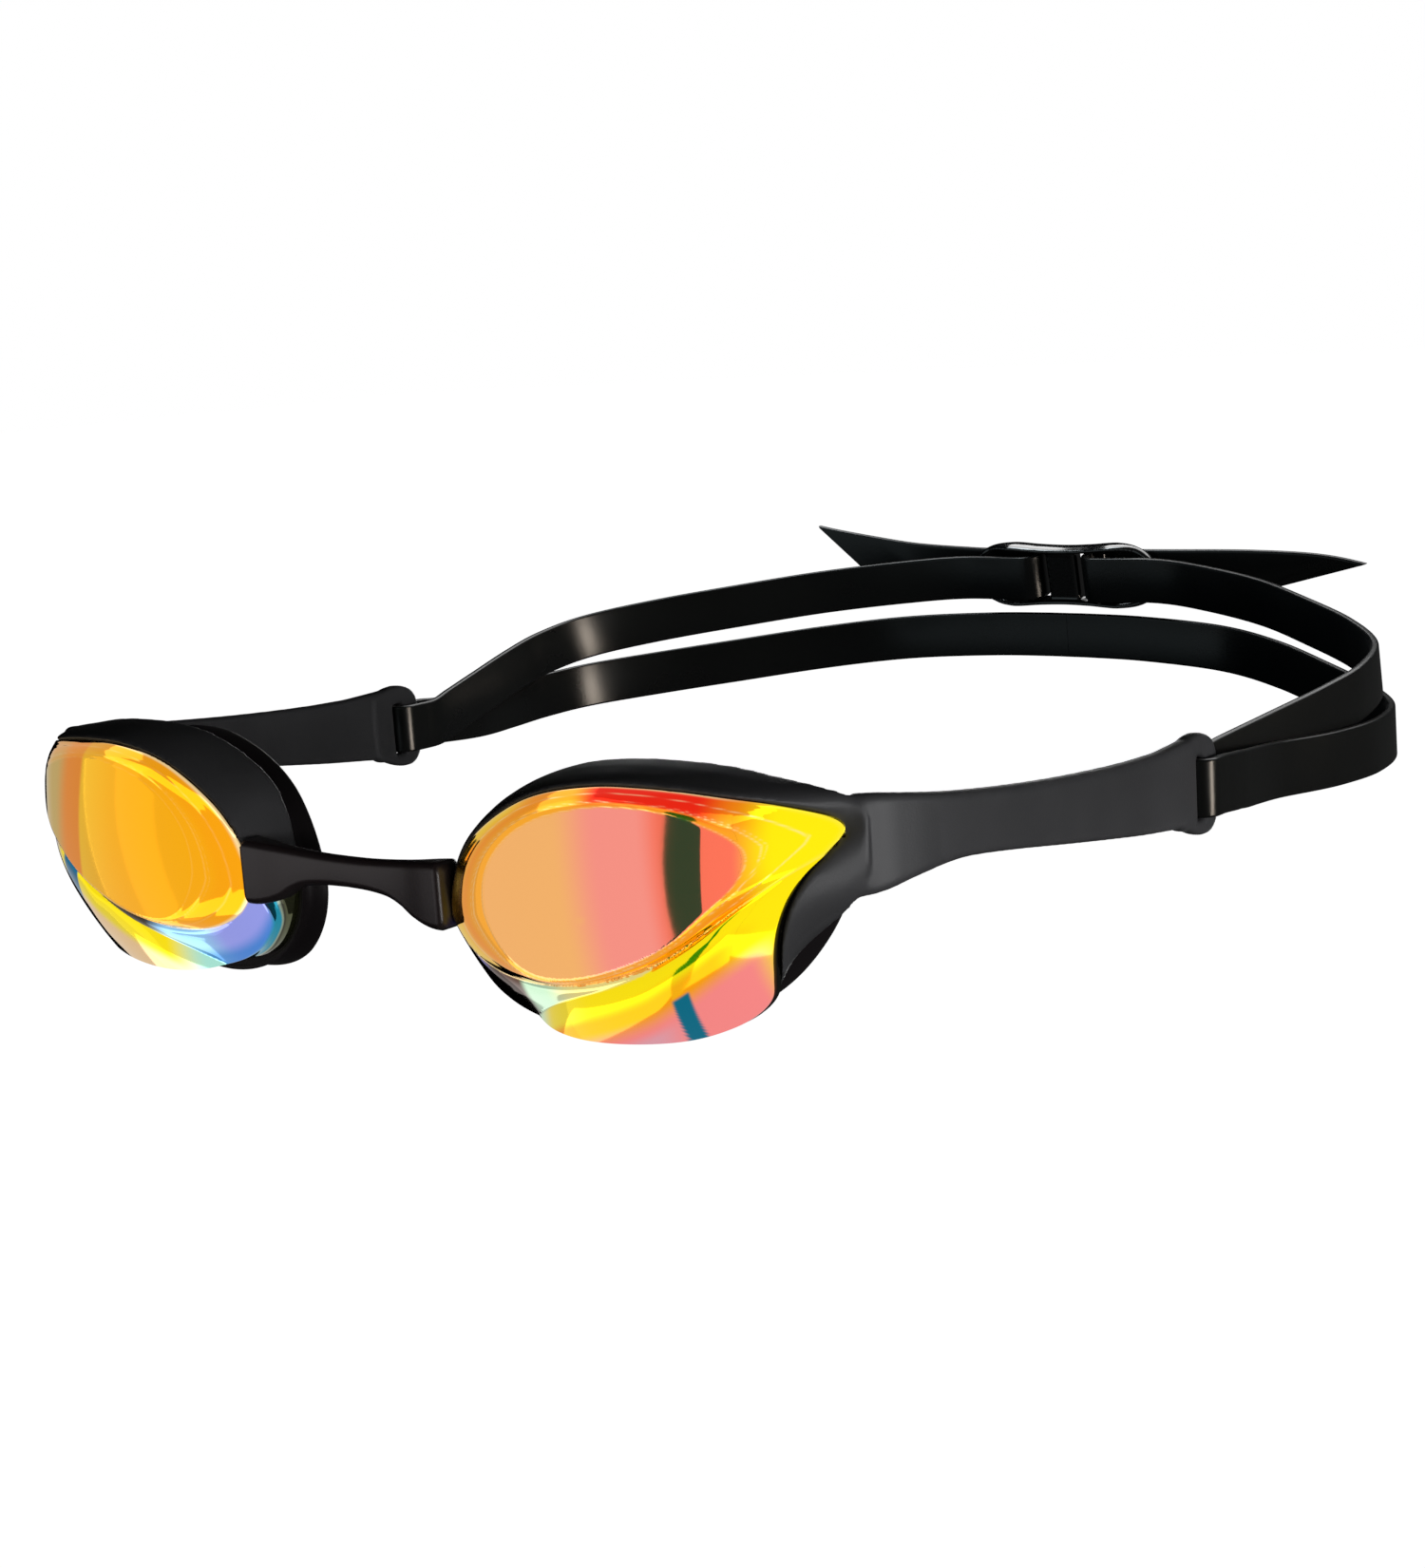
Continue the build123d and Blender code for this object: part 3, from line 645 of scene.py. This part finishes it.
# ---------------------------------------------------------------------------------------------
# Gaskets. Each is a soft moulded ring behind the frame: a short neck that flares to a thin lip
# rolled inwards, which beds against the skin round the eye.
# ---------------------------------------------------------------------------------------------
SEAL_LINE = [
    (-26.2, -4), (-20.6, 7.4), (-7, 13.0), (7, 13.2), (17.6, 10.0), (22.4, 2.6), (15.4, -8.1), (3.8, -15.0),
    (-10, -16.6), (-21.2, -12.8),
]
SEAL_PROFILE = [
    (0.9, -8.6), (0.2, -8.6), (0.1, -9.6), (0.3, -10.8), (0.9, -12.2), (1.35, -13.4), (1.5, -14.3),
    (1.2, -14.9), (0.5, -15.2), (-0.8, -15.2), (-2.2, -14.9), (-3.4, -14.2), (-4.0, -13.4), (-3.9, -12.8),
    (-3.0, -12.2), (-2.4, -11.2), (-2.3, -9.6), (-2.2, -8.6), (-1.0, -8.6),
]
SEAL_ANGLES, SEAL_PROFILE_POINTS = 240, 76


def seal_points():
    """The seal's profile carried round its outline. The profile's first figure grows the outline, and its
    second is depth. The lip alone bends with the face: it falls back as the square of the distance from the
    middle, and rises towards the nose."""
    line = through(SEAL_LINE, SEAL_ANGLES)
    ahead = np.roll(line, -1, axis=0) - np.roll(line, 1, axis=0)
    out = np.stack([ahead[:, 1], -ahead[:, 0]], 1)
    out /= np.linalg.norm(out, axis=1)[:, None]
    out *= np.sign((out * (line - line.mean(0))).sum())
    grow, depth = through(SEAL_PROFILE, SEAL_PROFILE_POINTS).T
    flat = line[:, None] + out[:, None] * grow[None, :, None]
    face_curve = ((line[:, 0] + 2) / 25) ** 2 - 0.5
    nose_rise = 2.2 * np.clip((-line[:, 0] - 4) / 22, 0, 1)
    lip_share = 0.9 * np.clip((-depth - 10) / 5, 0, 1)
    return in_cup(flat[..., 0], flat[..., 1], depth + (face_curve + nose_rise)[:, None] * lip_share)


gasket_rubber = moulding_material("gasket_rubber", (0.0125, 0.0092, 0.0105), 0.50, 0.12, 2600.0, 0.18)
rubber_shader = gasket_rubber.node_tree.nodes["Principled BSDF"]
rubber_shader.inputs["Sheen Weight"].default_value = 0.05
rubber_shader.inputs["Sheen Roughness"].default_value = 0.4
seal = seal_points()
for side_name, side in SIDES:
    gasket = add_mesh(f"soft_seal_{side_name}", seal, grid_faces(*seal.shape[:2], wrap_rows=True), side)
    gasket.data.materials.append(gasket_rubber)
    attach(gasket, f"eyecup_{side_name}")
    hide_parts(f"gasket_{side_name}")

# ---------------------------------------------------------------------------------------------
# Nose bridge. One flexible moulding with a thin waist. Each end spreads into a hook that clips
# beside the lens. It is drawn as two halves that meet in the middle.
# ---------------------------------------------------------------------------------------------
BRIDGE_TOP = [(-0.1, 1.9), (4.0, 1.95), (8.0, 2.15), (12.0, 2.45), (15.5, 2.8), (18.5, 3.0)]
BRIDGE_FOOT = [(-0.1, -2.0), (4.0, -2.15), (7.5, -2.6), (10.0, -3.5), (12.0, -4.6), (14.5, -5.35),
               (16.6, -5.6), (18.5, -5.5)]
BRIDGE_FRONT = [(-0.1, -2.6), (6.0, -2.6), (11.0, -2.9), (15.0, -3.5), (18.5, -3.9)]
BRIDGE_REAR = [(-0.1, 0.0), (6.0, 0.0), (11.0, 0.1), (15.0, 0.4), (18.5, 0.8)]
HOOK_END, HOOK_ROUNDING, BRIDGE_CORNER = (17.9, 18.15), (0.25, 0.6), 1.1


def bridge_points():
    """Half the bridge, from its waist out to the hook: an oblong section with soft edges that grows."""
    stations = np.r_[0, np.linspace(0.2, 17.5, 60), HOOK_END]
    inset = np.r_[np.zeros(61), HOOK_ROUNDING]
    high, low, front, rear = (height_along(stations, line)
                              for line in (BRIDGE_TOP, BRIDGE_FOOT, BRIDGE_FRONT, BRIDGE_REAR))
    across, along = rounded_section((rear - front) / 2 - inset, (high - low) / 2 - inset, BRIDGE_CORNER, 8)
    return np.stack([np.broadcast_to(stations[:, None], across.shape), across + (front + rear)[:, None] / 2,
                     along + (high + low)[:, None] / 2], -1)


bridge_plastic = moulding_material("bridge_plastic", (0.021, 0.0155, 0.0165), 0.38, 0.10, 2200.0, 0.35)
half_bridge = bridge_points()
bridge_faces = grid_faces(*half_bridge.shape[:2], caps=True)
for side_name, side in SIDES:
    hook = add_mesh(f"bridge_half_{side_name}", half_bridge, bridge_faces, side)
    hook.data.materials.append(bridge_plastic)
    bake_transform(hook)
    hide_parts("nose_bridge")

# ---------------------------------------------------------------------------------------------
# Strap. One flat ribbon of moulded silicone. From the buckle each half runs forward as the upper
# band, passes out through the arm's slot, turns round the bar and runs back as the lower band.
# ---------------------------------------------------------------------------------------------
HALF_WIDTH, HALF_THICK, BAND_CORNER = 4.0, 0.6, 0.42
LOOP_TURN = 2.1
UPPER_TILT, LOWER_TILT = 9.6, 3.1
HEAD_SIDES = [(75.8, 0.14), (78.8, 0.29), (80.0, 0.41), (77.6, 0.53), (69.1, 0.65), (57.2, 0.767),
              (44.6, 0.876), (31.0, 0.957)]
LOWER_SPREAD, LOWER_SAG, LOWER_END = 1.5, 3.4, 0.03
LAYER_GAP, BAR_TURN_X = 5.6, 7.5
TAIL_SHAPES = {"left": (53.0, 5.0, -3.4), "right": (58.5, 3.2, 3.2)}
TAIL_CUT, TAIL_ROWS, CUT_ROWS = 14.0, 75, 60
joint_place = {joint["name"]: np.array(joint["pos_m"]) / MM for joint in frame["joints"]}
upper_start, lower_start = joint_place["upper_tilt_left"], joint_place["lower_tilt_left"]
loop_low, loop_high = (np.array(corner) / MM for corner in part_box("strap_loop_left"))
loop_front = loop_low[1] + HALF_THICK
loop_middle_z = (loop_low[2] + loop_high[2]) / 2
upper_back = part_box("buckle")[0][1] / MM + 0.75
lower_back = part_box("lower_band_left")[1][1] / MM - HALF_THICK - 0.2


def last_share(count, last):
    """A share that is 0 until the last few of the rows, and grows evenly to 1 at the end."""
    return np.clip((np.arange(count) - count + last) / (last - 1), 0, 1)


def ribbon(plan, tilt, start_z, level_z, tilt_y, cut=0.0, lift=0.0, sag=0.0):
    """A flat ribbon on its edge along a plan route. It is level in the arm's slot, then its middle rises at
    the band's tilt. The last stretch is lifted by the cube of its share, the middle sags by a squared sine
    wave, and a slanted cut draws the lower edge back at the far end."""
    x, y = plan[:, 0], plan[:, 1]
    slope = np.radians(tilt)
    settle = ramp(y, tilt_y - 6, tilt_y + 3)
    past = np.cumsum(np.hypot(np.gradient(x), np.gradient(y)) * (y > tilt_y))
    droop = sag * np.sin(np.pi * (past / past[-1]) ** 0.6) ** 2
    middle_z = (level_z + (start_z + (y - tilt_y) * np.tan(slope) - level_z) * settle
                + lift * last_share(len(x), TAIL_ROWS) ** 3 - droop)
    route = np.column_stack([x, y, middle_z])
    ahead = np.gradient(route, axis=0)
    ahead /= np.linalg.norm(ahead, axis=1)[:, None]
    wide = np.column_stack([0 * x, -np.sin(slope * settle), np.cos(slope * settle)])
    wide -= (wide * ahead).sum(1)[:, None] * ahead
    wide /= np.linalg.norm(wide, axis=1)[:, None]
    thick = np.cross(ahead, wide)
    across, along = rounded_section(HALF_THICK, HALF_WIDTH, BAND_CORNER, 5)
    drawn = cut * last_share(len(x), CUT_ROWS)[:, None] * (along / HALF_WIDTH - 1) / 2
    return (route[:, None] + thick[:, None] * across[:, None] + wide[:, None] * along[:, None]
            + ahead[:, None] * drawn[..., None])


def arc(centre, radius, begin, end, count=14):
    """Points on part of a circle, angles in degrees."""
    angle = np.radians(np.linspace(begin, end, count))
    return np.column_stack([centre[0] + radius * np.cos(angle), centre[1] + radius * np.sin(angle)])


def rubber_material(name):
    """Moulded silicone: near-black with a cool cast, soft sheen, faint cloudy bloom and fine pores."""
    material = moulding_material(name, (0.0042, 0.0052, 0.0056), 0.28, 0.10, 1500.0, 0.30)
    shader = material.node_tree.nodes["Principled BSDF"]
    shader.inputs["Sheen Weight"].default_value = 0.03
    shader.inputs["Sheen Roughness"].default_value = 0.3
    return material


silicone = rubber_material("silicone")
head_upper = [(x, upper_start[1] + part * (upper_back - upper_start[1])) for x, part in HEAD_SIDES]
head_lower = [(x + LOWER_SPREAD, lower_start[1] + part * (lower_back - lower_start[1]))
              for x, part in HEAD_SIDES]
inner_x, outer_x = upper_start[0], lower_start[0]
slot_middle_x = (inner_x + outer_x) / 2
loop_turn_y = loop_front + LOOP_TURN


def upper_route(reach, splay):
    """Plan of one side's upper run: slot, inner leg, head side, turn round the buckle's bar, then tail."""
    tail_y = upper_back + LAYER_GAP
    tail = [(BAR_TURN_X + 0.4, tail_y), (17.0, tail_y), (23.0, tail_y + 0.4), (34.0, tail_y + 0.37 * splay),
            (45.0, tail_y + 0.72 * splay), (reach, tail_y + splay)]
    run = [(inner_x, loop_turn_y + 0.4), (inner_x, 85.5), (inner_x + 0.1, 90), *head_upper,
           (20.0, upper_back), (BAR_TURN_X + 0.4, upper_back)]
    return np.vstack([
        np.column_stack([np.linspace(slot_middle_x, inner_x + LOOP_TURN, 5)[:-1], np.full(4, loop_front)]),
        arc((inner_x + LOOP_TURN, loop_turn_y), LOOP_TURN, 270, 180),
        through(run, 260, closed=False),
        arc((BAR_TURN_X, upper_back + LAYER_GAP / 2), LAYER_GAP / 2, 270, 90, 24),
        through(tail, 90, closed=False),
    ])


lower_run = [(outer_x, loop_turn_y + 0.4), (outer_x, 85.5), (outer_x, 90), *head_lower,
             (16.0, lower_back - 0.6), (5.0, lower_back), (LOWER_END, lower_back)]
lower_route = np.vstack([
    np.column_stack([np.linspace(slot_middle_x, outer_x - LOOP_TURN, 5)[:-1], np.full(4, loop_front)]),
    arc((outer_x - LOOP_TURN, loop_turn_y), LOOP_TURN, -90, 0),
    through(lower_run, 260, closed=False),
])
lower_ribbon = ribbon(lower_route, LOWER_TILT, lower_start[2], loop_middle_z, lower_start[1], sag=LOWER_SAG)
for side_name, side in SIDES:
    tail_reach, tail_splay, tail_lift = TAIL_SHAPES[side_name]
    upper_ribbon = ribbon(upper_route(tail_reach, tail_splay), UPPER_TILT, upper_start[2], loop_middle_z,
                          upper_start[1], cut=TAIL_CUT, lift=tail_lift)
    for level, band_points, start in (("upper", upper_ribbon, upper_start),
                                      ("lower", lower_ribbon, lower_start)):
        band_faces = grid_faces(*band_points.shape[:2], caps=True)
        band = add_mesh(f"strap_{level}_{side_name}", band_points, band_faces, side)
        band.data.materials.append(silicone)
        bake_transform(band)
        nodes_shown = [f"strap_loop_{side_name}", f"{level}_band_{side_name}"]
        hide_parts(*nodes_shown + ([f"strap_tail_{side_name}"] if level == "upper" else []))

# ---------------------------------------------------------------------------------------------
# Strap buckle. One polished moulding shaped like a dog bone: a raised rim all round, a bar at each
# end, an inner bar each side that the ribbon turns round, and a broad spine in the middle.
# ---------------------------------------------------------------------------------------------
buckle_middle = np.mean(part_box("buckle"), axis=0) / MM
BUCKLE_SLOPE = np.radians(UPPER_TILT)
BUCKLE_AXES = np.array([(1, 0, 0), (0, np.cos(BUCKLE_SLOPE), np.sin(BUCKLE_SLOPE)),
                        (0, -np.sin(BUCKLE_SLOPE), np.cos(BUCKLE_SLOPE))])
BUCKLE_QUARTER = [(0, 4.7), (5, 4.85), (10.5, 5.2), (14.4, 4.8), (17.0, 3.2), (18.2, 0)]
BUCKLE_RIM_HALF, BUCKLE_BAR_CORNER = 0.62, 0.7
# Half the rim's depth at the middle and at the ends, and where along the buckle it begins and stops changing
RIM_DEEP, RIM_SHALLOW, SHALLOW_FROM, SHALLOW_TO = 2.2, 1.0, 10.5, 15.0
# Each bar: its places along the buckle, half its width, half its thickness, and half its height
BUCKLE_BARS = [((0,), 3.1, 1.4, 4.8), ((-7.6, 7.6), 1.3, 0.95, 5.0), ((-17.2, 17.2), 0.9, 0.95, 2.8)]


def on_buckle(x, out, up):
    """A place on the buckle: along it, out of its back, and up its face."""
    return buckle_middle + np.stack(np.broadcast_arrays(x, out, up), -1) @ BUCKLE_AXES


def buckle_rim():
    """The rim: an oval section carried round a long outline that is drawn in at its waist. Its depth falls
    evenly towards the two ends."""
    half = BUCKLE_QUARTER + [(x, -up) for x, up in BUCKLE_QUARTER[-2::-1]]
    line = through(half + [(-x, up) for x, up in half[-2:0:-1]], 240)
    ahead = np.roll(line, -1, axis=0) - np.roll(line, 1, axis=0)
    side_out = np.stack([-ahead[:, 1], ahead[:, 0]], 1)
    side_out /= np.linalg.norm(side_out, axis=1)[:, None]
    turn = np.linspace(0, 2 * np.pi, 20, endpoint=False)
    depth = np.interp(np.abs(line[:, 0]), (SHALLOW_FROM, SHALLOW_TO), (RIM_DEEP, RIM_SHALLOW))
    flat = line[:, None] + side_out[:, None] * (BUCKLE_RIM_HALF * np.cos(turn))[None, :, None]
    return on_buckle(flat[..., 0], np.sin(turn) * depth[:, None], flat[..., 1])


def buckle_bar(middle, half, thick, reach):
    """An upright bar with a rounded section."""
    across, along = rounded_section(half, thick, BUCKLE_BAR_CORNER)
    return on_buckle(middle + across, along, np.linspace(-reach, reach, 24)[:, None])


rim_ring = buckle_rim()
buckle_shells = [(rim_ring, grid_faces(*rim_ring.shape[:2], wrap_rows=True))]
for places, *bar_size in BUCKLE_BARS:
    for place in places:
        bar = buckle_bar(place, *bar_size)
        buckle_shells.append((bar, grid_faces(*bar.shape[:2], caps=True)))
gloss_black = moulding_material("gloss_black", (0.0045, 0.0048, 0.0052), 0.13, 0.02, 700.0, 0.5)
gloss_shader = gloss_black.node_tree.nodes["Principled BSDF"]
gloss_shader.inputs["Coat Weight"].default_value = 0.5
gloss_shader.inputs["Coat Roughness"].default_value = 0.05
clasp = melt_together("buckle_moulding", buckle_shells, voxel=0.22, passes=4, side=1)
clasp.data.materials.append(gloss_black)
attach(clasp, "buckle")
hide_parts("buckle")

# ---------------------------------------------------------------------------------------------
# Stage: a plain white floor and background, soft light from large panels, and the camera. Each panel
# lights only some of the pieces, as a studio's flags and cards do. A faint glow from the left fills in.
# ---------------------------------------------------------------------------------------------
scene = bpy.context.scene
scene.view_settings.view_transform = "Standard"
world = bpy.data.worlds.new("studio")
world.use_nodes = True
air, air_links = world.node_tree.nodes, world.node_tree.links
look = air.new("ShaderNodeTexCoord")
toward = air.new("ShaderNodeVectorMath")
toward.operation = "DOT_PRODUCT"
toward.inputs[1].default_value = (0.96, -0.10, -0.26)
glow = air.new("ShaderNodeMapRange")
glow.inputs["From Min"].default_value = -0.6
glow.inputs["To Min"].default_value = 0.0
glow.inputs["To Max"].default_value = 0.10
path = air.new("ShaderNodeLightPath")
level = air.new("ShaderNodeMix")
level.inputs["B"].default_value = 1.0
air_links.new(look.outputs["Generated"], toward.inputs[0])
air_links.new(toward.outputs["Value"], glow.inputs["Value"])
air_links.new(glow.outputs["Result"], level.inputs["A"])
air_links.new(path.outputs["Is Camera Ray"], level.inputs["Factor"])
air_links.new(level.outputs["Result"], air["Background"].inputs["Strength"])
air["Background"].inputs["Color"].default_value = (1, 1, 1, 1)
scene.world = world

FLOOR_HALF, FLOOR_DEPTH = 3000, -60
floor_corners = [(x * FLOOR_HALF, y * FLOOR_HALF, FLOOR_DEPTH)
                 for x, y in ((-1, -1), (1, -1), (1, 1), (-1, 1))]
floor = add_mesh("floor", floor_corners, [[0, 1, 2, 3]])
floor_paint, _, _, paint, _ = new_material("floor_paint")
paint.inputs["Base Color"].default_value = (0.9, 0.9, 0.9, 1)
paint.inputs["Roughness"].default_value = 0.9
paint.inputs["Emission Color"].default_value = (1, 1, 1, 1)
paint.inputs["Emission Strength"].default_value = 1.0
floor.data.materials.append(floor_paint)
floor.visible_diffuse = floor.visible_glossy = floor.visible_transmission = False


def lit_only(name, words):
    """A group of the pieces whose names start with one of these words, for panels that light nothing else."""
    group = bpy.data.collections.new(name)
    for piece in scene.objects:
        if piece.name.startswith(words):
            group.objects.link(piece)
    return group


PANEL_DISTANCE = 1.5


def panel(name, turn, lift, wide, tall, level, lit, colour=(1, 1, 1)):
    """A soft light panel turned towards the goggles that lights one group of pieces. Turn and lift are its
    direction in degrees, from the front towards the left and up, and level is its brightness."""
    lamp = bpy.data.lights.new(name, "AREA")
    lamp.shape, lamp.size, lamp.size_y, lamp.color = "RECTANGLE", wide, tall, colour
    lamp.energy = level * np.pi * wide * tall
    light = bpy.data.objects.new(name, lamp)
    turn, lift = np.radians([turn, lift])
    facing = Vector((np.sin(turn) * np.cos(lift), -np.cos(turn) * np.cos(lift), np.sin(lift)))
    spin = facing.to_track_quat("Z", "Y").to_matrix().to_4x4()
    light.matrix_world = Matrix.Translation(facing * PANEL_DISTANCE) @ spin
    light.light_linking.receiver_collection = lit
    scene.collection.objects.link(light)


def wall_panel(name, begin, end, level, lit, colour=(1, 1, 1)):
    """A tall panel that fills the view between two directions."""
    wide = 2 * PANEL_DISTANCE * np.tan(np.radians(end - begin) / 2)
    panel(name, (begin + end) / 2, 0, wide, 3.6, level, lit, colour)


lenses = lit_only("lenses", ("lens_shell",))
left_lens = lit_only("left_lens", ("lens_shell_left",))
right_lens = lit_only("right_lens", ("lens_shell_right",))
black_pieces = lit_only("black_pieces", ("strap_", "buckle_"))
frames = lit_only("frames", ("frame_",))
rubber_and_bridge = lit_only("rubber_and_bridge", ("bridge_", "soft_seal"))
stiff_and_soft = lit_only("stiff_and_soft", ("frame_", "bridge_", "soft_seal"))
# What the lenses mirror: bright walls all round, and one dark green strip for the left lens alone
wall_panel("bright_far_left", -105, -68, 0.75, lenses)
wall_panel("bright_left", -68, -15.5, 0.92, left_lens)
wall_panel("green_strip", -15.5, -6.5, 0.27, left_lens, (0.02, 1.0, 0.75))
wall_panel("bright_middle", -6.5, 35, 0.95, left_lens)
wall_panel("amber_wall", -68, 35, 0.92, right_lens)
wall_panel("pale_beam", -58, -47, 0.14, right_lens)
wall_panel("bright_right", 35, 100, 0.95, lenses)
panel("bright_below", -20, -82, 3.6, 3.6, 0.85, lenses)
panel("bright_above", -20, 82, 3.6, 3.6, 0.8, lenses)
# What lights the dark pieces
panel("key", 78, -8, 1.2, 0.7, 11.5, stiff_and_soft)
panel("front_fill", -30, 0, 1.6, 1.2, 1.3, rubber_and_bridge, (1.0, 0.94, 0.95))
panel("temple_fill", 45, -10, 1.2, 0.8, 3.0, frames)
panel("strap_fill", 84, -4, 1.0, 0.7, 0.7, black_pieces)
panel("strap_front_fill", -30, 10, 2.6, 1.8, 0.45, black_pieces, (0.80, 0.95, 1.0))
panel("back_fill", 200, -6, 1.2, 0.9, 4.5, stiff_and_soft)
panel("back_strap_fill", 178, 52, 1.8, 0.9, 4.0, black_pieces)
panel("loop_glint", 92, -6, 0.42, 1.2, 20, black_pieces, (1.0, 0.86, 0.72))
panel("edge_glint", -120, 62, 0.5, 0.3, 10, black_pieces, (0.85, 0.95, 1.0))

# Angles in degrees, the distance in metres, and the aim as a step from the middle of the CAD model
CAMERA_AZIMUTH, CAMERA_HEIGHT, CAMERA_ROLL, CAMERA_DISTANCE = 39.125, 10.915, -3.953, 0.330
CAMERA_LENS, CAMERA_AIM = 57.63, (0.0276, -0.0513, 0.0045)
target = (Vector(cad_bounds[0]) + Vector(cad_bounds[1])) / 2 + Vector(CAMERA_AIM)
azimuth, height, roll = np.radians([CAMERA_AZIMUTH, CAMERA_HEIGHT, CAMERA_ROLL])
back = Vector((np.sin(azimuth) * np.cos(height), -np.cos(azimuth) * np.cos(height), np.sin(height)))
right = (-back).cross(Vector((0, 0, 1))).normalized()
upright = right.cross(-back)
turned_right = right * np.cos(roll) + upright * np.sin(roll)
turned_up = upright * np.cos(roll) - right * np.sin(roll)
camera = bpy.data.objects.new("camera", bpy.data.cameras.new("camera"))
camera.data.lens = CAMERA_LENS
camera.data.clip_start = 0.01
spot = target + back * CAMERA_DISTANCE
camera.matrix_world = Matrix.Translation(spot) @ Matrix((turned_right, turned_up, back)).transposed().to_4x4()
scene.collection.objects.link(camera)
scene.camera = camera
